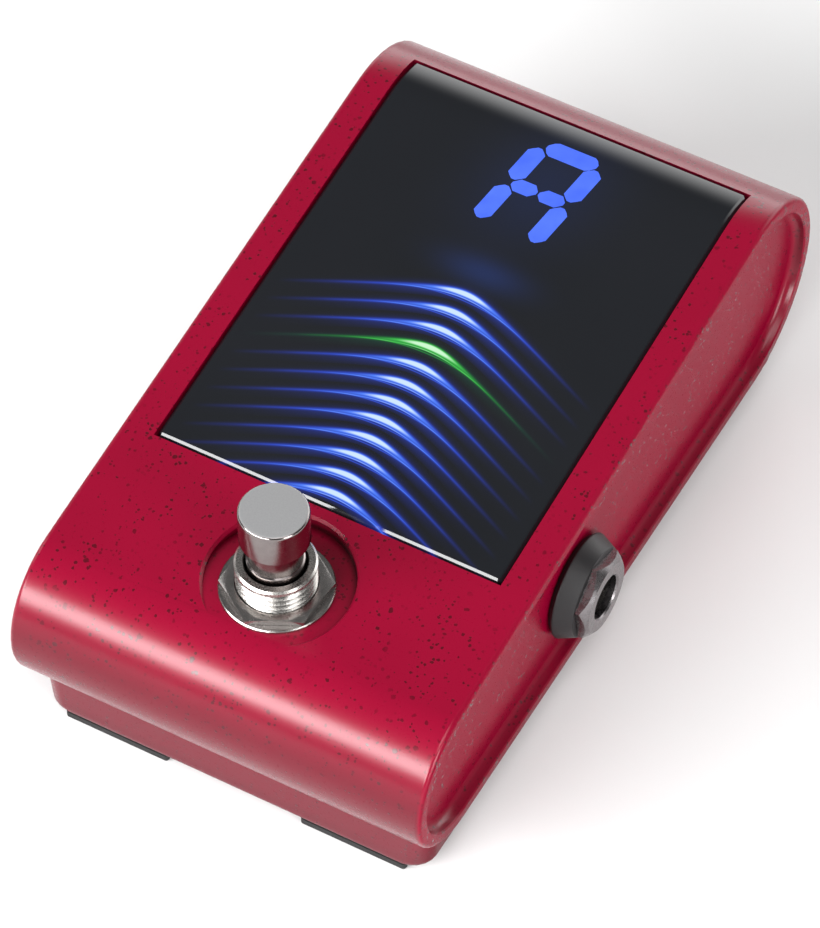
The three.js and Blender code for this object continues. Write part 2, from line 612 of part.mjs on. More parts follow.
// The button and stem that the player treads on, with a wide foot that the spring pushes up.
function footswitchPlunger() {
  const { r, topZ, height, round } = CAP;
  const underCap = topZ - height;
  const profile = [[0, PLUNGER_FOOT.topZ - PLUNGER_FOOT.thickness]];
  profile.push([PLUNGER_FOOT.r, PLUNGER_FOOT.topZ - PLUNGER_FOOT.thickness]);
  profile.push([PLUNGER_FOOT.r, PLUNGER_FOOT.topZ], [STEM.r, PLUNGER_FOOT.topZ]);
  profile.push([STEM.r, STEM.shoulderZ - 0.4]);
  profile.push([STEM.r - 0.08, STEM.shoulderZ - 0.15], [STEM.waist, STEM.shoulderZ], [STEM.waist, underCap]);
  profile.push([r - 0.25, underCap], [r, underCap + 0.25]);
  const steps = 4;
  for (let i = 0; i <= steps; i += 1) {
    const angle = Math.PI / 2 * i / steps;
    profile.push([r - round + round * Math.cos(angle), topZ - round + round * Math.sin(angle)]);
  }
  profile.push([0, topZ]);
  return turned(profile, 40, 0, SWITCH_Y);
}

// The return spring, a round wire wound between the plunger's foot and the body's floor.
function footswitchSpring() {
  const low = SWITCH_BODY.bottomZ + SWITCH_BODY.wall + SPRING.wire + SEAT;
  const high = PLUNGER_FOOT.topZ - PLUNGER_FOOT.thickness - SPRING.wire - SEAT;
  class Helix extends THREE.Curve {
    getPoint(t) {
      const angle = 2 * Math.PI * SPRING.turns * t;
      const x = SPRING.r * Math.cos(angle);
      const y = SWITCH_Y + SPRING.r * Math.sin(angle);
      return new THREE.Vector3(x, y, low + (high - low) * t);
    }
  }
  const section = new THREE.Shape();
  section.absarc(0, 0, SPRING.wire, 0, 2 * Math.PI);
  return new THREE.ExtrudeGeometry(section, {
    extrudePath: new Helix(),
    steps: 14 * SPRING.turns,
    curveSegments: 3,
  });
}

// ---------------------------------------------------------------- jack sockets

// Each socket piece is drawn for the +X side and mirrored by a half turn about Z for the other.
function onSide(geometry, side) {
  if (side > 0) {
    return geometry;
  }
  geometry.translate(0, -JACK.y, 0);
  geometry.rotateZ(Math.PI);
  geometry.translate(0, JACK.y, 0);
  return geometry;
}

function jackBody() {
  const { outerX, innerX, halfDepth, halfHeight } = JACK_BODY;
  const block = solid(box(innerX, outerX, JACK.y - halfDepth, JACK.y + halfDepth,
    JACK.z - halfHeight, JACK.z + halfHeight));
  const bore = solid(turnedAcross(disc(JACK.bore, 0, 40), 32, JACK.y, JACK.z));
  return geometryOf(block.subtract(bore));
}

function jackFerrule() {
  const outer = JACK_NUT.faceX - JACK_NUT.lip - SEAT;
  const base = JACK_BODY.outerX + SEAT;
  const profile = [[JACK.bore, base], [FERRULE_R, base], [FERRULE_R, outer - 0.3],
    [FERRULE_R - 0.3, outer], [JACK.bore, outer], [JACK.bore, base]];
  return turnedAcross(profile, 32, JACK.y, JACK.z);
}

function jackCollar() {
  const base = PANEL_X + SEAT;
  const top = base + COLLAR.height;
  const inner = FERRULE_R + GAP;
  const profile = [[inner, base], [COLLAR.footR, base], [COLLAR.r, base + COLLAR.edge],
    [COLLAR.r, base + COLLAR.edge + COLLAR.rim], [COLLAR.topR, top], [inner, top], [inner, base]];
  return turnedAcross(profile, 48, JACK.y, JACK.z);
}

// A cap nut: wide bore over the ferrule, and a lip at its face with the socket's own bore.
function jackNut() {
  const { acrossFlats, faceX, faceR, height, taper, lip, turn } = JACK_NUT;
  const cornerR = acrossFlats / 2 / Math.cos(Math.PI / 6);
  const prism = new THREE.CylinderGeometry(cornerR, cornerR, height, 6);
  prism.rotateY(Math.PI / 2);
  prism.rotateZ(Math.PI / 2);
  prism.rotateX(THREE.MathUtils.degToRad(turn));
  prism.translate(faceX - height / 2, JACK.y, JACK.z);
  const shoulder = faceX - taper;
  const envelope = turnedAcross([[0, faceX - height], [cornerR + 0.02, faceX - height],
    [cornerR + 0.02, shoulder], [faceR, faceX], [0, faceX]], 48, JACK.y, JACK.z);
  const bore = turnedAcross([[0, 20], [FERRULE_R + 0.15, 20], [FERRULE_R + 0.15, faceX - lip],
    [JACK.bore, faceX - lip], [JACK.bore, faceX - 0.25], [JACK.bore + 0.3, faceX + 0.05], [0, 40]],
  32, JACK.y, JACK.z);
  return geometryOf(solid(prism).intersect(solid(envelope)).subtract(solid(bore)));
}

// The sprung contact at the blind end of the socket, bent over the plug's tip.
function jackContact() {
  const x = JACK_BODY.innerX - 0.4;
  const strip = [[x, 5.6], [x - 0.5, 5.6], [x - 0.5, -4.8], [x - 2.1, -6.2], [x - 1.8, -6.6],
    [x, -5.0]];
  const shape = new THREE.Shape(strip.map(([u, v]) => new THREE.Vector2(u, v)));
  const geometry = new THREE.ExtrudeGeometry(shape, { depth: 3.2, bevelEnabled: false });
  geometry.rotateX(Math.PI / 2);
  geometry.translate(0, JACK.y + 1.6, JACK.z);
  return geometry;
}

// ---------------------------------------------------------------- rear panel

function dcJackBody() {
  const { x, z, barrelR, bore, innerY, half } = DC_JACK;
  const shoulderY = CAVITY_REAR_Y - GAP;
  const block = solid(box(x - half, x + half, innerY, shoulderY, z - half, z + half));
  const barrel = solid(turnedAlong(disc(barrelR, innerY + 1, REAR_PANEL_Y + 0.4), 32, x, z));
  const socket = solid(turnedAlong(disc(bore, innerY + 1.6, 70), 32, x, z));
  return geometryOf(block.add(barrel).subtract(socket));
}

function dcJackPin() {
  const { x, z, pinR, innerY } = DC_JACK;
  const low = innerY + 1.6 + SEAT;
  const high = REAR_PANEL_Y - 1;
  const profile = [[0, low], [pinR, low], [pinR, high - 0.4], [pinR - 0.4, high], [0, high]];
  return turnedAlong(profile, 20, x, z);
}

// A push button: a domed face in the panel's hole and a flange that keeps it inside.
function rearButton(x) {
  const { z, r, flangeR, proud, travel } = BUTTON;
  const faceY = REAR_PANEL_Y + proud;
  const flangeY = CAVITY_REAR_Y - GAP;
  const backY = KEY_SWITCH.rearY + travel + GAP;
  const profile = [[0, backY], [1.4, backY], [1.4, flangeY - 0.9], [flangeR, flangeY - 0.9],
    [flangeR, flangeY], [r, flangeY], [r, faceY - 0.4], [r - 0.4, faceY], [0, faceY + 0.15]];
  return turnedAlong(profile, 24, x, z);
}

function keySwitch(x) {
  const { halfWidth, frontY, rearY } = KEY_SWITCH;
  const { z } = BUTTON;
  return box(x - halfWidth, x + halfWidth, frontY, rearY, z - halfWidth, z + halfWidth);
}

function rearBoard() {
  const { lowX, highX, lowY, highY, lowZ, highZ } = REAR_BOARD;
  return box(lowX, highX, lowY, highY, lowZ, highZ);
}

// ---------------------------------------------------------------- display and boards

function displayLens() {
  const { bevel, thickness } = LENS;
  const outline = topStrip(WINDOW.start + GAP, WINDOW.end - GAP, 0, thickness, bevel);
  const half = WINDOW.halfWidth - GAP;
  return sideExtrusion(outline, -half, half, bevel);
}

function lightDiffuser() {
  const { start, end, upper, lower, halfWidth } = DIFFUSER;
  return sideExtrusion(topStrip(start, end, upper, lower), -halfWidth, halfWidth);
}

// The display board carries the note digit and a row of lamps for the meter along its middle.
function displayBoard() {
  const { start, end, upper, lower, halfWidth } = DISPLAY_BOARD;
  let body = solid(sideExtrusion(topStrip(start, end, upper, lower), -halfWidth, halfWidth));
  const { count, first, step, height, size } = METER_LEDS;
  for (let i = 0; i < count; i += 1) {
    const along = first + step * i;
    const lamp = topStrip(along - size, along + size, upper - height, upper + 0.2);
    body = body.add(solid(sideExtrusion(lamp, -size, size)));
  }
  const digit = topStrip(64, 76, upper - height, upper + 0.2);
  return geometryOf(body.add(solid(sideExtrusion(digit, -7, 7))));
}

function mainBoard() {
  const { halfWidth, lowY, highY, lowZ, highZ } = MAIN_BOARD;
  let body = solid(box(-halfWidth, halfWidth, lowY, highY, lowZ, highZ));
  const chips = [[-10, 0, 5, 15], [6, 14, 8, 13], [4, 10, 24, 29]];
  for (const [lowX, highX, chipLow, chipHigh] of chips) {
    body = body.add(solid(box(lowX, highX, chipLow, chipHigh, highZ - 0.2, highZ + 1.1)));
  }
  return geometryOf(body);
}

// ---------------------------------------------------------------- assembly

const tuner = new THREE.Group();

const caseGroup = new THREE.Group();
caseGroup.add(part('upper_housing', upperHousing(), RED_PAINT));
caseGroup.add(part('lower_case', lowerCase(), RED_PAINT));
caseGroup.add(part('battery_door', batteryDoor(), BLACK_PLASTIC));
for (const [spot, centre] of Object.entries(SCREW_SPOTS)) {
  caseGroup.add(part(`case_screw_${spot}`, caseScrew(centre), DARK_STEEL));
}
for (const [end, endName] of [[-1, 'front'], [1, 'rear']]) {
  for (const [side, sideName] of [[-1, 'left'], [1, 'right']]) {
    caseGroup.add(part(`foot_${endName}_${sideName}`, foot(side, end), RUBBER));
  }
}
tuner.add(caseGroup);

const displayGroup = new THREE.Group();
displayGroup.add(part('display_lens', displayLens(), BLACK_ACRYLIC));
displayGroup.add(part('light_diffuser', lightDiffuser(), WHITE_PLASTIC));
displayGroup.add(part('display_board', displayBoard(), BOARD_GREEN));
displayGroup.add(part('main_board', mainBoard(), BOARD_GREEN));
tuner.add(displayGroup);

const footswitchGroup = new THREE.Group();
footswitchGroup.add(part('footswitch_body', footswitchBody(), TIN));
footswitchGroup.add(part('footswitch_bushing', footswitchBushing(), NICKEL));
footswitchGroup.add(part('footswitch_inner_nut', footswitchInnerNut(), NICKEL));
footswitchGroup.add(part('footswitch_washer', footswitchWasher(), NICKEL));
footswitchGroup.add(part('footswitch_nut', footswitchNut(), NICKEL));
footswitchGroup.add(part('footswitch_plunger', footswitchPlunger(), NICKEL));
footswitchGroup.add(part('footswitch_spring', footswitchSpring(), SPRING_STEEL));
for (const [side, sideName] of [[-1, 'left'], [1, 'right']]) {
  footswitchGroup.add(part(`footswitch_lug_${sideName}`, footswitchLug(side * LUG_X), TIN));
}
tuner.add(footswitchGroup);

const jackGroup = new THREE.Group();
for (const [side, jackName] of [[1, 'input'], [-1, 'output']]) {
  jackGroup.add(part(`${jackName}_jack_body`, onSide(jackBody(), side), BLACK_PLASTIC));
  jackGroup.add(part(`${jackName}_jack_ferrule`, onSide(jackFerrule(), side), NICKEL));
  jackGroup.add(part(`${jackName}_jack_collar`, onSide(jackCollar(), side), BLACK_PLASTIC));
  jackGroup.add(part(`${jackName}_jack_nut`, onSide(jackNut(), side), DARK_STEEL));
  jackGroup.add(part(`${jackName}_jack_contact`, onSide(jackContact(), side), TIN));
}
tuner.add(jackGroup);

const rearGroup = new THREE.Group();
rearGroup.add(part('dc_jack_body', dcJackBody(), BLACK_PLASTIC));
rearGroup.add(part('dc_jack_pin', dcJackPin(), NICKEL));
rearGroup.add(part('rear_board', rearBoard(), BOARD_GREEN));
for (const [name, x] of Object.entries(BUTTON_X)) {
  rearGroup.add(part(name, rearButton(x), BLACK_PLASTIC));
  rearGroup.add(part(`${name}_switch`, keySwitch(x), TIN));
}
tuner.add(rearGroup);

const powerGroup = new THREE.Group();
powerGroup.add(part('battery', battery(), BATTERY_SLEEVE));
powerGroup.add(part('battery_snap', batterySnap(), BLACK_PLASTIC));
powerGroup.add(part('battery_lead_red', batteryLead(14), RED_SLEEVE));
powerGroup.add(part('battery_lead_black', batteryLead(22), BLACK_SLEEVE));
tuner.add(powerGroup);

export default tuner;
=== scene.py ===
import json
import math

import bpy
from mathutils import Matrix, Vector


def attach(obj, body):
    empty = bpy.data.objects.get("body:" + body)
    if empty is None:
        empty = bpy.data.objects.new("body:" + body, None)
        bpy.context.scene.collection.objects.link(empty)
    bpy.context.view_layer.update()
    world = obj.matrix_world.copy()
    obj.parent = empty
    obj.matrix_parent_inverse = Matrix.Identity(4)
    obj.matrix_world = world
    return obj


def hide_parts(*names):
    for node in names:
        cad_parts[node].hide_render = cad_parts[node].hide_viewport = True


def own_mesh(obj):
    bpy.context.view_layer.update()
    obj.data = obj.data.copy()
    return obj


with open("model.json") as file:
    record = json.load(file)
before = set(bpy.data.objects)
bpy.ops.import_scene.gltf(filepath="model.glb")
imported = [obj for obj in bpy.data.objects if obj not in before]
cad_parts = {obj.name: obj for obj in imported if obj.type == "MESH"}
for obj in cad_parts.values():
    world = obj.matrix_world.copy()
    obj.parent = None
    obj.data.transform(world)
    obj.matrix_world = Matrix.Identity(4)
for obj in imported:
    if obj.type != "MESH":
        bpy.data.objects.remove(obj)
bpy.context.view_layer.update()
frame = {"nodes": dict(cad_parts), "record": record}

NODES = frame["nodes"]
MM = 0.001

# The case's side outline is the band round two circles, in millimetres.
NOSE_Y, NOSE_Z, NOSE_R = -46.2, 18.8, 12.5
TAIL_Y, TAIL_Z, TAIL_R = 41.6, 23.4, 17.1
SWITCH_Y = -40.1
RECESS_Y, RECESS_R, RECESS_FLOOR_Z = -39.3, 10.6, 31.1
CAP_TOP = 48.05
BUSHING_R, BUSHING_BORE, THREAD_DEPTH, THREAD_PITCH = 5.75, 4.36, 0.5, 1.0
BUSHING_LOW, BUSHING_TOP, THREAD_END = 25.45, 37.1, 36.5
CENTRE_DISTANCE = math.hypot(TAIL_Z - NOSE_Z, TAIL_Y - NOSE_Y)
TOP_SLOPE = math.atan2(TAIL_Z - NOSE_Z, TAIL_Y - NOSE_Y) + math.asin((TAIL_R - NOSE_R) / CENTRE_DISTANCE)
TANGENT_ANGLE = math.pi / 2 + TOP_SLOPE
NOSE_TANGENT_Y = NOSE_Y + NOSE_R * math.cos(TANGENT_ANGLE)
NOSE_TANGENT_Z = NOSE_Z + NOSE_R * math.sin(TANGENT_ANGLE)
ORIGIN_Z = NOSE_TANGENT_Z + (SWITCH_Y - NOSE_TANGENT_Y) * math.tan(TOP_SLOPE)
FLAT_LENGTH = math.hypot(TAIL_Y + TAIL_R * math.cos(TANGENT_ANGLE) - SWITCH_Y,
                         TAIL_Z + TAIL_R * math.sin(TANGENT_ANGLE) - ORIGIN_Z)


def on_top(x, along, height=0.0):
    """A point on the case's top skin, in metres: along is measured from the footswitch axis."""
    if along <= FLAT_LENGTH:
        y = SWITCH_Y + along * math.cos(TOP_SLOPE) - height * math.sin(TOP_SLOPE)
        z = ORIGIN_Z + along * math.sin(TOP_SLOPE) + height * math.cos(TOP_SLOPE)
    else:
        angle = TANGENT_ANGLE - (along - FLAT_LENGTH) / TAIL_R
        y = TAIL_Y + (TAIL_R + height) * math.cos(angle)
        z = TAIL_Z + (TAIL_R + height) * math.sin(angle)
    return Vector((x, y, z)) * MM


CAMERA_LENS, SENSOR = 211.56, 36.0
CAMERA_PLACE = (0.23968, -0.42233, 0.62173)
CAMERA_TURN, CAMERA_DOWN, CAMERA_ROLL = 29.761, 51.374, -0.778      # degrees
ROOM, GLOW = 0.14, 3.4       # radiance of the room and of the glow behind
LIGHTS = {                   # place, target, width, height in metres, and power in watts
    "front": ((-0.36, -1.0, 0.56), (0, -0.03, 0.02), 1.5, 0.34, 30),
    "above": ((0.45, -0.35, 1.15), (0, 0, 0), 0.8, 0.6, 5.5),
    "left": ((-1.1, 0.1, 0.7), (0, 0, 0.02), 0.5, 0.7, 3),
    "right": ((1.0, -0.45, 0.35), (0, 0, 0.02), 0.4, 0.6, 8.0),
}
CREASE = math.radians(31)    # edges steeper than this stay crisp


# ---------------------------------------------------------------- camera and light

def make_camera():
    data = bpy.data.cameras.new("camera")
    data.lens = CAMERA_LENS
    data.sensor_width = SENSOR
    data.clip_start = 0.05
    data.clip_end = 10.0
    camera = bpy.data.objects.new("camera", data)
    turn = Matrix.Rotation(math.radians(CAMERA_TURN), 4, "Z")
    tilt = Matrix.Rotation(math.radians(90 - CAMERA_DOWN), 4, "X")
    roll = Matrix.Rotation(math.radians(CAMERA_ROLL), 4, "Z")
    camera.matrix_world = Matrix.Translation(CAMERA_PLACE) @ turn @ tilt @ roll
    bpy.context.scene.collection.objects.link(camera)
    bpy.context.scene.camera = camera


def area_light(name, place, target, width, height, power):
    data = bpy.data.lights.new(name, "AREA")
    data.shape = "RECTANGLE"
    data.size = width
    data.size_y = height
    data.energy = power
    lamp = bpy.data.objects.new(name, data)
    lamp.location = place
    lamp.rotation_euler = (Vector(target) - Vector(place)).to_track_quat("-Z", "Y").to_euler()
    bpy.context.scene.collection.objects.link(lamp)


def make_world():
    """A dim pale room with a broad soft glow low behind the object."""
    world = bpy.data.worlds.new("studio")
    world.use_nodes = True
    tree = world.node_tree
    background = tree.nodes["Background"]
    split = tree.nodes.new("ShaderNodeSeparateXYZ")
    tree.links.new(tree.nodes.new("ShaderNodeTexCoord").outputs["Generated"], split.inputs[0])

    def fade(socket, low, high, to_low, to_high):
        node = tree.nodes.new("ShaderNodeMapRange")
        node.interpolation_type = "SMOOTHSTEP"
        tree.links.new(socket, node.inputs["Value"])
        for name, value in (("From Min", low), ("From Max", high), ("To Min", to_low), ("To Max", to_high)):
            node.inputs[name].default_value = value
        return node.outputs[0]

    behind = fade(split.outputs["Y"], 0.45, 0.9, 0.0, GLOW)
    low_down = fade(split.outputs["Z"], 0.25, 0.68, 1.0, 0.0)
    glow = tree.nodes.new("ShaderNodeMath")
    glow.operation = "MULTIPLY_ADD"
    tree.links.new(behind, glow.inputs[0])
    tree.links.new(low_down, glow.inputs[1])
    glow.inputs[2].default_value = ROOM
    tree.links.new(glow.outputs[0], background.inputs["Strength"])
    background.inputs["Color"].default_value = (1, 1, 1, 1)
    bpy.context.scene.world = world
    bpy.context.scene.view_settings.view_transform = "Standard"


# ---------------------------------------------------------------- shader helpers

class Shader:
    """A material with one Principled node, and short calls that add nodes to it."""

    def __init__(self, name, **plain):
        self.material = bpy.data.materials.new(name)
        self.material.use_nodes = True
        self.tree = self.material.node_tree
        self.main = self.tree.nodes["Principled BSDF"]
        for socket, value in plain.items():
            self.main.inputs[socket.replace("_", " ")].default_value = value

    def put(self, value, socket):
        if isinstance(value, bpy.types.NodeSocket):
            self.tree.links.new(value, socket)
        else:
            socket.default_value = value

    def node(self, kind, **settings):
        node = self.tree.nodes.new("ShaderNode" + kind)
        for name, value in settings.items():
            setattr(node, name, value)
        return node

    def math(self, operation, a, b=0.0, c=0.0):
        node = self.node("Math", operation=operation)
        for value, socket in zip((a, b, c), node.inputs):
            self.put(value, socket)
        return node.outputs[0]

    def position(self):
        return self.node("TexCoord").outputs["Object"]

    def millimetres(self):
        split = self.node("SeparateXYZ")
        scale = self.node("VectorMath", operation="SCALE")
        self.put(self.position(), scale.inputs[0])
        scale.inputs["Scale"].default_value = 1000.0
        self.put(scale.outputs[0], split.inputs[0])
        return split.outputs

    def noise(self, scale, detail=3.0, roughness=0.55):
        node = self.node("TexNoise")
        self.put(self.position(), node.inputs["Vector"])
        node.inputs["Scale"].default_value = scale
        node.inputs["Detail"].default_value = detail
        node.inputs["Roughness"].default_value = roughness
        return node.outputs["Fac"]

    def bell(self, value, width):
        """1 where the value is nought, dying away smoothly on both sides over the width."""
        scaled = self.math("DIVIDE", value, width)
        return self.math("EXPONENT", self.math("MULTIPLY", self.math("MULTIPLY", scaled, scaled), -1.0))

    def ramp(self, value, *stops):
        node = self.node("ValToRGB")
        elements = node.color_ramp.elements
        while len(elements) < len(stops):
            elements.new(0.5)
        for element, (place, colour) in zip(elements, stops):
            element.position = place
            element.color = (*colour, 1.0)
        self.put(value, node.inputs[0])
        return node.outputs[0]

    def range(self, value, low, high, to_low=0.0, to_high=1.0):
        node = self.node("MapRange")
        for source, socket in zip((value, low, high, to_low, to_high), node.inputs):
            self.put(source, socket)
        return node.outputs[0]

    def mix(self, factor, a, b):
        node = self.node("Mix", data_type="RGBA")
        self.put(factor, node.inputs["Factor"])
        self.put(a if isinstance(a, bpy.types.NodeSocket) else (*a, 1.0), node.inputs[6])
        self.put(b if isinstance(b, bpy.types.NodeSocket) else (*b, 1.0), node.inputs[7])
        return node.outputs[2]

    def bump(self, height, distance, strength=1.0):
        node = self.node("Bump")
        node.inputs["Strength"].default_value = strength
        node.inputs["Distance"].default_value = distance
        self.put(height, node.inputs["Height"])
        self.put(node.outputs[0], self.main.inputs["Normal"])

    def colour(self, value):
        self.put(value, self.main.inputs["Base Color"])

    def roughness(self, value):
        self.put(value, self.main.inputs["Roughness"])


def speck_mask(shader, scale, share, size):
    """Sparse round specks of mixed sizes: 1 inside a speck, 0 outside."""
    cells = shader.node("TexVoronoi")
    wobble = shader.node("VectorMath", operation="ADD")
    shift = shader.node("TexNoise")
    shader.put(shader.position(), shift.inputs["Vector"])
    shift.inputs["Scale"].default_value = scale * 1.6
    spread = shader.node("VectorMath", operation="SCALE")
    shader.put(shift.outputs["Color"], spread.inputs[0])
    spread.inputs["Scale"].default_value = 0.55 / scale
    shader.put(shader.position(), wobble.inputs[0])
    shader.put(spread.outputs[0], wobble.inputs[1])
    shader.put(wobble.outputs[0], cells.inputs["Vector"])
    cells.inputs["Scale"].default_value = scale
    pick = shader.node("SeparateColor")
    shader.put(cells.outputs["Color"], pick.inputs[0])
    reach = shader.math("MULTIPLY", shader.math("GREATER_THAN", pick.outputs[0], 1.0 - share),
                        shader.range(pick.outputs[1], 0.0, 1.0, 0.35 * size, size))
    gap = shader.math("SUBTRACT", reach, cells.outputs["Distance"])
    return shader.range(gap, 0.0, 0.07)


def recess_shade(shader):
    """0 on the open case, rising inside the footswitch's round recess, most on its wall."""
    x, y, z = shader.millimetres()
    do = shader.math
    away = do("SUBTRACT", y, RECESS_Y)
    radius = do("SQRT", do("ADD", do("MULTIPLY", x, x), do("MULTIPLY", away, away)))
    skin = do("ADD", ORIGIN_Z, do("MULTIPLY", do("SUBTRACT", y, SWITCH_Y), math.tan(TOP_SLOPE)))
    below = shader.range(do("SUBTRACT", skin, z), 0.2, 1.6)
    wall = shader.range(radius, RECESS_R - 1.0, RECESS_R, 0.35, 1.0)
    inside = do("MULTIPLY", do("LESS_THAN", radius, RECESS_R + 0.5),
                do("GREATER_THAN", z, RECESS_FLOOR_Z - 0.3))
    return do("MULTIPLY", do("MULTIPLY", below, wall), inside)


def red_paint():
    """Deep crimson enamel, thick with small glossy specks that lie darker than the paint."""
    shader = Shader("red_enamel", Coat_Roughness=0.25)
    shader.main.inputs["Specular IOR Level"].default_value = 0.04
    broad = shader.noise(60, 2)
    fine = shader.noise(2600, 3)
    cluster = shader.range(shader.noise(170, 2), 0.36, 0.58, 0.2, 1.0)
    specks = shader.math("MAXIMUM", speck_mask(shader, 850, 0.26, 0.36), speck_mask(shader, 1500, 0.40, 0.44))
    specks = shader.math("MULTIPLY", specks, cluster)
    facing = shader.node("SeparateXYZ")
    shader.put(shader.node("TexCoord").outputs["Normal"], facing.inputs[0])
    sideways = shader.range(shader.math("ABSOLUTE", facing.outputs[0]), 0.5, 0.9)
    base = shader.mix(broad, (0.205, 0.0004, 0.017), (0.24, 0.0006, 0.021))
    # Darker low down, on faces that point forward and inside the recess, as those lie in shade.
    low_down = shader.range(shader.millimetres()[2], 3.0, 15.0, 0.62, 0.0)
    forward = shader.range(shader.math("MULTIPLY", facing.outputs[1], -1.0), 0.74, 0.97, 0.0, 0.55)
    shade = shader.math("MAXIMUM", shader.math("MAXIMUM", low_down, forward), recess_shade(shader))
    base = shader.mix(shade, base, (0.03, 0.0, 0.002))
    shader.colour(shader.mix(shader.math("MULTIPLY", specks, 0.85), base, (0.05, 0.0, 0.004)))
    shader.roughness(shader.range(fine, 0.3, 0.7, 0.26, 0.36))
    glaze = shader.range(sideways, 0.0, 1.0, 0.70, 0.04)
    shader.put(shader.math("MAXIMUM", glaze, specks), shader.main.inputs["Coat Weight"])
    shader.bump(shader.math("ADD", shader.math("MULTIPLY", fine, 0.25), specks), 0.00004, 0.7)
    return shader.material


def distance_from_switch(shader):
    x, y, _ = shader.millimetres()
    away = shader.math("SUBTRACT", y, SWITCH_Y)
    squares = shader.math("ADD", shader.math("MULTIPLY", x, x), shader.math("MULTIPLY", away, away))
    return shader.math("SQRT", squares)


def threaded_metal():
    """Nickel with painted shade down in the thread's grooves."""
    shader = Shader("threaded_nickel", Metallic=1.0)
    # Painted shade: the plate goes near black down in the thread's grooves, below where the thread ends.
    groove_shade = shader.range(distance_from_switch(shader), BUSHING_R - THREAD_DEPTH, BUSHING_R - 0.12, 1.0, 0.0)
    cut = shader.math("LESS_THAN", shader.millimetres()[2], THREAD_END)
    plate = shader.mix(shader.noise(900, 4), (0.44, 0.42, 0.40), (0.54, 0.52, 0.49))
    shader.colour(shader.mix(shader.math("MULTIPLY", groove_shade, cut), plate, (0.012, 0.010, 0.010)))
    shader.roughness(shader.range(shader.noise(5000, 2), 0.3, 0.7, 0.22, 0.34))
    return shader.material


def cap_metal():
    """The footswitch's button: dark bright-plated sides and a fine matt top."""
    shader = Shader("button_plate", Metallic=1.0)
    top = shader.range(shader.millimetres()[2], CAP_TOP - 0.12, CAP_TOP - 0.03)
    side = shader.mix(shader.noise(900, 4), (0.20, 0.175, 0.17), (0.28, 0.25, 0.245))
    shader.colour(shader.mix(top, side, (0.40, 0.40, 0.405)))
    gloss = shader.range(shader.noise(4000, 2), 0.3, 0.7, 0.12, 0.2)
    shader.roughness(shader.math("ADD", gloss, shader.math("MULTIPLY", top, 0.55)))
    return shader.material


def turned_metal(name, low, high, rough_low, rough_high):
    shader = Shader(name, Metallic=1.0)
    cloud = shader.noise(900, 4)
    lines = shader.noise(9000, 2, 0.5)
    shader.colour(shader.mix(cloud, low, high))
    shader.roughness(shader.range(shader.math("ADD", cloud, shader.math("MULTIPLY", lines, 0.5)),
                                  0.3, 1.2, rough_low, rough_high))
    shader.bump(lines, 0.00001, 0.35)
    return shader.material


def moulded(name, low, high, rough_low, rough_high, grain=4000):
    shader = Shader(name)
    cloud = shader.noise(300, 4)
    pebble = shader.noise(grain, 3)
    shader.colour(shader.mix(cloud, low, high))
    shader.roughness(shader.range(shader.math("ADD", cloud, pebble), 0.6, 1.4, rough_low, rough_high))
    shader.bump(pebble, 0.00003, 0.5)
    return shader.material


# ---------------------------------------------------------------- display light

# The fan of bent strands of light, in millimetres across the case and along its top.
ARCH_COUNT, ARCH_PITCH = 12, 3.4
ARCH_REAR = 53.7            # the rear-most apex, along the top from the footswitch axis
ARCH_ROUND = 2.4            # how broadly a strand bends at its apex
ARCH_SLOPE = 0.475          # how steeply it then falls away to each side
ARCH_END, ARCH_FADE = 25.0, 16.0     # where a strand ends, and where it starts to die away
GREEN_ARCH = 3              # which strand is green, the rear-most being 0
STRAND_WIDTH, STRAND_SWELL = 0.30, 0.16     # a strand's width, and what its apex adds to it
HAZE_OFFSET, HAZE_WIDTH = 0.35, 0.95
# Two fine strands in front of each: their distance at the apex, how far they spread, width, strength.
FINE_STRANDS = ((0.75, 7.0, 0.10, 0.5), (1.15, 6.0, 0.08, 0.3))
BLUE_LIGHT = ((0.0, (0, 0, 0)), (0.12, (0.004, 0.010, 0.11)), (0.35, (0.015, 0.05, 0.50)),
              (0.62, (0.07, 0.20, 0.95)), (1.0, (0.62, 0.80, 1.0)))
GREEN_LIGHT = ((0.0, (0, 0, 0)), (0.12, (0.0, 0.02, 0.01)), (0.35, (0.005, 0.15, 0.02)),
               (0.62, (0.04, 0.52, 0.06)), (1.0, (0.60, 0.95, 0.62)))
GLOW_X, GLOW_ALONG = 0.6, 58.0      # a faint glow between the strands and the letter

LETTER_MIDDLE = 73.6        # the letter's cross bar, along the top
LETTER_X = 0.8
LETTER_SLANT = 0.15
HALO_ALONG = 74.6


def place_on_top(shader):
    """Millimetres across the case, and along its top skin from the footswitch axis."""
    x, y, z = shader.millimetres()
    do = shader.math
    along = do("ADD", do("MULTIPLY", do("SUBTRACT", y, SWITCH_Y), math.cos(TOP_SLOPE)),
               do("MULTIPLY", do("SUBTRACT", z, ORIGIN_Z), math.sin(TOP_SLOPE)))
    return x, along


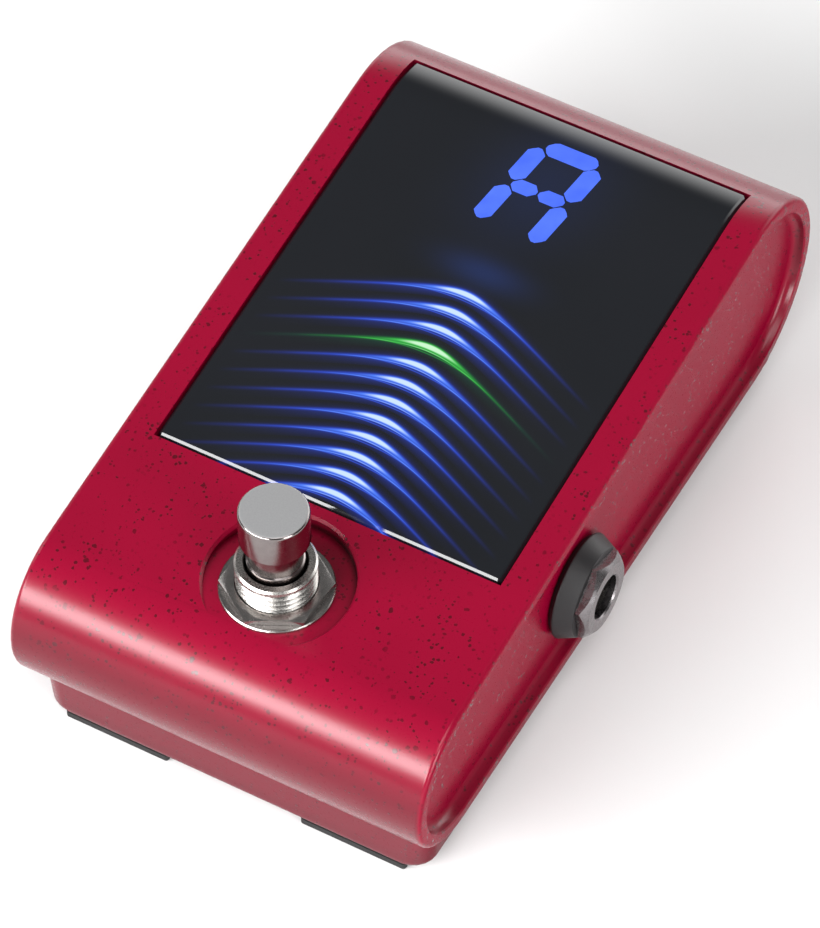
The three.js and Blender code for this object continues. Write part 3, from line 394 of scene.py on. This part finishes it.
def arch_light(shader, x, along):
    """The colour of the fan of strands: the nearest strand is found first, then the distance to it."""
    do, bell = shader.math, shader.bell
    reach = do("ABSOLUTE", x)
    slant = do("MULTIPLY", x, ARCH_SLOPE)
    drop = do("SUBTRACT", do("SQRT", do("ADD", do("MULTIPLY", slant, slant), ARCH_ROUND ** 2)), ARCH_ROUND)
    phase = do("DIVIDE", do("SUBTRACT", ARCH_REAR, do("ADD", along, drop)), ARCH_PITCH)
    number = do("ROUND", phase)
    offset = do("MULTIPLY", do("SUBTRACT", phase, number), ARCH_PITCH)
    inside = do("MULTIPLY", do("GREATER_THAN", number, -0.5), do("LESS_THAN", number, ARCH_COUNT - 0.5))

    width = do("ADD", STRAND_WIDTH, do("MULTIPLY", bell(reach, 5.0), STRAND_SWELL))
    fade = do("MULTIPLY", do("EXPONENT", do("MULTIPLY", reach, -0.062)),
              shader.range(reach, ARCH_END, ARCH_FADE))
    strength = do("ADD", do("MULTIPLY", fade, 0.46), do("MULTIPLY", bell(reach, 3.6), 0.72))
    core = do("MULTIPLY", bell(offset, width), strength)
    fine = 0.0
    for distance, spread, fine_width, fine_strength in FINE_STRANDS:
        strand = bell(do("SUBTRACT", offset, do("MULTIPLY", bell(reach, spread), distance)), fine_width)
        fine = do("ADD", fine, do("MULTIPLY", strand, fine_strength))
    fine = do("MULTIPLY", fine, bell(reach, 8.0))
    haze = bell(do("SUBTRACT", offset, HAZE_OFFSET), HAZE_WIDTH)
    haze = do("MULTIPLY", haze, do("MULTIPLY", bell(reach, 10.0), 0.24))
    total = do("MULTIPLY", do("ADD", do("ADD", core, fine), haze), inside)
    is_green = do("COMPARE", number, float(GREEN_ARCH), 0.25)
    return shader.mix(is_green, shader.ramp(total, *BLUE_LIGHT), shader.ramp(total, *GREEN_LIGHT))


def faint_glow(shader, x, along):
    """Stray blue light below the letter and round it."""
    do, bell = shader.math, shader.bell
    patch = do("MULTIPLY", bell(do("SUBTRACT", x, GLOW_X), 6.0), bell(do("SUBTRACT", along, GLOW_ALONG), 2.4))
    leaning = do("ADD", LETTER_X - LETTER_SLANT * LETTER_MIDDLE, do("MULTIPLY", along, LETTER_SLANT))
    halo = do("MULTIPLY", bell(do("SUBTRACT", x, leaning), 8.5),
              bell(do("SUBTRACT", along, HALO_ALONG), 10.0))
    return shader.mix(do("ADD", patch, do("MULTIPLY", halo, 0.42)), (0, 0, 0), (0.004, 0.014, 0.075))


def display_material():
    """Smoked acrylic, with the light that comes up through it as emission."""
    shader = Shader("smoked_acrylic")
    shader.main.inputs["IOR"].default_value = 1.49
    x, along = place_on_top(shader)
    together = shader.node("Mix", data_type="RGBA", blend_type="ADD")
    together.inputs["Factor"].default_value = 1.0
    shader.put(arch_light(shader, x, along), together.inputs[6])
    shader.put(faint_glow(shader, x, along), together.inputs[7])
    shader.put(together.outputs[2], shader.main.inputs["Emission Color"])
    shader.main.inputs["Emission Strength"].default_value = 1.0

    cloud = shader.noise(40, 2)
    smear = shader.noise(2500, 3)
    shader.colour(shader.mix(cloud, (0.008, 0.009, 0.011), (0.011, 0.012, 0.015)))
    shader.roughness(shader.range(smear, 0.3, 0.7, 0.05, 0.09))
    return shader.material


# Each stroke's two ends, across and along from the letter's middle, and its width.
STROKES = {
    "top": ((-3.9, 7.9), (4.2, 7.9), 2.8),
    "upper_left": ((-4.5, 0.7), (-4.5, 7.2), 2.8),
    "upper_right": ((4.5, 0.7), (4.5, 7.2), 2.8),
    "bar_left": ((-4.2, 0.0), (-0.15, 0.0), 2.3),
    "bar_right": ((0.15, 0.0), (4.2, 0.0), 2.3),
    "lower_left": ((-4.5, -7.4), (-4.5, -0.7), 2.8),
    "lower_right": ((4.5, -7.8), (4.5, -0.7), 2.8),
}
LENS_TOP = 0.0              # the lens's face stands flush with the case's top skin
PLATE_LOW, PLATE_HIGH = 0.02, 0.07      # above the lens


def add_object(name, vertices, faces, material):
    mesh = bpy.data.meshes.new(name)
    mesh.from_pydata(vertices, [], faces)
    mesh.validate()
    mesh.materials.append(material)
    piece = bpy.data.objects.new(name, mesh)
    bpy.context.scene.collection.objects.link(piece)
    return piece


def stroke_plate(start, end, width, steps=14, taper=1.1):
    """A thin six-sided plate with pointed ends that follows the curve of the lens."""
    (u0, v0), (u1, v1) = start, end
    length = math.hypot(u1 - u0, v1 - v0)
    du, dv = (u1 - u0) / length, (v1 - v0) / length
    vertices = []
    for i in range(steps + 1):
        t = length * i / steps
        half = width / 2 * min(1.0, (min(t, length - t) + 0.25) / taper)
        for side, height in ((-1, PLATE_LOW), (1, PLATE_LOW), (1, PLATE_HIGH), (-1, PLATE_HIGH)):
            u = u0 + du * t - dv * half * side
            v = v0 + dv * t + du * half * side
            vertices.append(on_top(LETTER_X + u + LETTER_SLANT * v, LETTER_MIDDLE + v, LENS_TOP + height))
    faces = [(0, 1, 2, 3), tuple(4 * steps + k for k in (3, 2, 1, 0))]
    for i in range(steps):
        for k in range(4):
            a, b = 4 * i + k, 4 * i + (k + 1) % 4
            faces.append((a, a + 4, b + 4, b))
    return vertices, faces


def letter_material():
    shader = Shader("lit_segment")
    shader.main.inputs["Roughness"].default_value = 0.3
    wave = shader.noise(260, 2)
    shader.colour(shader.mix(wave, (0.01, 0.02, 0.08), (0.02, 0.03, 0.12)))
    shader.put(shader.mix(wave, (0.035, 0.10, 0.80), (0.09, 0.20, 1.0)), shader.main.inputs["Emission Color"])
    shader.main.inputs["Emission Strength"].default_value = 1.0
    return shader.material


def make_letter():
    material = letter_material()
    for name, (start, end, width) in STROKES.items():
        vertices, faces = stroke_plate(start, end, width)
        plate = add_object("note_segment_" + name, vertices, faces, material)
        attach(plate, "case")


def make_bushing(material):
    """The footswitch's sleeve with its screw thread cut as one helix, running out below the top edge."""
    around, per_turn = 72, 10
    levels = int((THREAD_END - BUSHING_LOW) / THREAD_PITCH * per_turn)
    profile = []                # radius and height, with no radius where the thread's wave sets it
    for i in range(levels + 1):
        profile.append((None, BUSHING_LOW + i * THREAD_PITCH / per_turn))
    profile += [(BUSHING_R, THREAD_END + 0.05), (BUSHING_R, BUSHING_TOP - 0.3),
                (BUSHING_R - 0.3, BUSHING_TOP),
                (BUSHING_BORE + 0.2, BUSHING_TOP), (BUSHING_BORE, BUSHING_TOP - 0.25),
                (BUSHING_BORE, BUSHING_LOW)]
    vertices, faces = [], []
    for radius, z in profile:
        for k in range(around):
            turn = 2 * math.pi * k / around
            r = radius
            if r is None:
                wave = abs(((z / THREAD_PITCH - k / around) % 1.0) * 2 - 1)
                r = BUSHING_R - THREAD_DEPTH * wave * min(1.0, 0.2 + (THREAD_END - z) / THREAD_PITCH)
            vertices.append(Vector((r * math.cos(turn), SWITCH_Y + r * math.sin(turn), z)) * MM)
    count = len(profile)
    for i in range(count):
        for k in range(around):
            a, b = around * i + k, around * i + (k + 1) % around
            c, d = around * ((i + 1) % count) + k, around * ((i + 1) % count) + (k + 1) % around
            faces.append((a, b, d, c))
    bushing = add_object("threaded_bushing", vertices, faces, material)
    bushing.data.shade_smooth()
    bushing.data.set_sharp_from_angle(angle=math.radians(40))
    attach(bushing, "case")
    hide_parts("footswitch_bushing")


SPRING_R, SPRING_WIRE, SPRING_TURNS = 3.6, 0.35, 5
SPRING_LOW, SPRING_HIGH = 12.4, 21.6


def make_spring(material):
    """The footswitch's coil, standing on the can's floor."""
    around, steps = 12, 26 * SPRING_TURNS
    vertices, faces = [], []
    for i in range(steps + 1):
        angle = 2 * math.pi * SPRING_TURNS * i / steps
        z = SPRING_LOW + (SPRING_HIGH - SPRING_LOW) * i / steps
        for k in range(around):
            turn = 2 * math.pi * k / around
            r = SPRING_R + SPRING_WIRE * math.cos(turn)
            height = z + SPRING_WIRE * math.sin(turn)
            vertices.append(Vector((r * math.cos(angle), SWITCH_Y + r * math.sin(angle), height)) * MM)
    for i in range(steps):
        for k in range(around):
            a, b = around * i + k, around * i + (k + 1) % around
            faces.append((a, b, b + around, a + around))
    faces.append(tuple(range(around))[::-1])
    faces.append(tuple(range(around * steps, around * (steps + 1))))
    spring = add_object("footswitch_coil", vertices, faces, material)
    spring.data.shade_smooth()
    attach(spring, "case")
    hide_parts("footswitch_spring")
    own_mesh(spring)


# ---------------------------------------------------------------- finish for each slot

FINISHES = {
    "red_paint": red_paint(),
    "black_plastic": moulded("moulded_black", (0.005, 0.004, 0.005), (0.009, 0.008, 0.009), 0.42, 0.55),
    "dark_steel": turned_metal("dark_plated_steel", (0.17, 0.155, 0.16), (0.26, 0.245, 0.25), 0.2, 0.34),
    "rubber": moulded("black_rubber", (0.010, 0.010, 0.010), (0.020, 0.020, 0.020), 0.7, 0.9, 2500),
    "lens_acrylic": display_material(),
    "diffuser_plastic": moulded("milky_sheet", (0.70, 0.72, 0.75), (0.78, 0.80, 0.82), 0.45, 0.6),
    "board_green": moulded("solder_mask", (0.012, 0.11, 0.04), (0.02, 0.17, 0.06), 0.3, 0.5, 1800),
    "nickel": turned_metal("nickel_plate", (0.36, 0.34, 0.33), (0.48, 0.455, 0.44), 0.2, 0.3),
    "spring_steel": turned_metal("spring_wire", (0.42, 0.42, 0.43), (0.55, 0.55, 0.56), 0.25, 0.4),
    "tin": turned_metal("tinned_sheet", (0.55, 0.54, 0.50), (0.68, 0.67, 0.62), 0.3, 0.5),
    "battery_sleeve": moulded("foil_sleeve", (0.03, 0.034, 0.042), (0.05, 0.055, 0.065), 0.25, 0.4),
    "lead_red": moulded("red_sleeving", (0.36, 0.010, 0.010), (0.45, 0.015, 0.012), 0.4, 0.55),
    "lead_black": moulded("black_sleeving", (0.008, 0.008, 0.008), (0.014, 0.014, 0.014), 0.4, 0.55),
}


def smooth_by_angle(piece):
    """Curved runs of facets shade as one surface, and steeper edges stay crisp."""
    piece.modifiers.new("joined", "WELD").merge_threshold = 2e-6
    split = piece.modifiers.new("crisp_edges", "EDGE_SPLIT")
    split.split_angle = CREASE
    split.use_edge_sharp = False
    piece.modifiers.new("even_normals", "WEIGHTED_NORMAL")


for row in frame["record"]["subparts"]:
    mesh = NODES[row["node"]].data
    mesh.materials.clear()
    mesh.materials.append(FINISHES[row["material_slot"]])
    mesh.shade_smooth()
    smooth_by_angle(NODES[row["node"]])
NODES["footswitch_plunger"].data.materials[0] = cap_metal()

make_letter()
make_bushing(threaded_metal())
make_spring(FINISHES["spring_steel"])

make_camera()
make_world()
for light_name, settings in LIGHTS.items():
    area_light(light_name, *settings)


def make_floor():
    mesh = bpy.data.meshes.new("studio_floor")
    half = 3.0
    corners = [(-half, -half, 0), (half, -half, 0), (half, half, 0), (-half, half, 0)]
    mesh.from_pydata(corners, [], [(0, 1, 2, 3)])
    floor = bpy.data.objects.new("studio_floor", mesh)
    floor.location.z = -0.0002
    bpy.context.scene.collection.objects.link(floor)
    shader = Shader("studio_floor")
    shader.colour(shader.mix(shader.noise(6, 2), (0.77, 0.77, 0.77), (0.80, 0.80, 0.80)))
    shader.roughness(0.9)
    mesh.materials.append(shader.material)


make_floor()
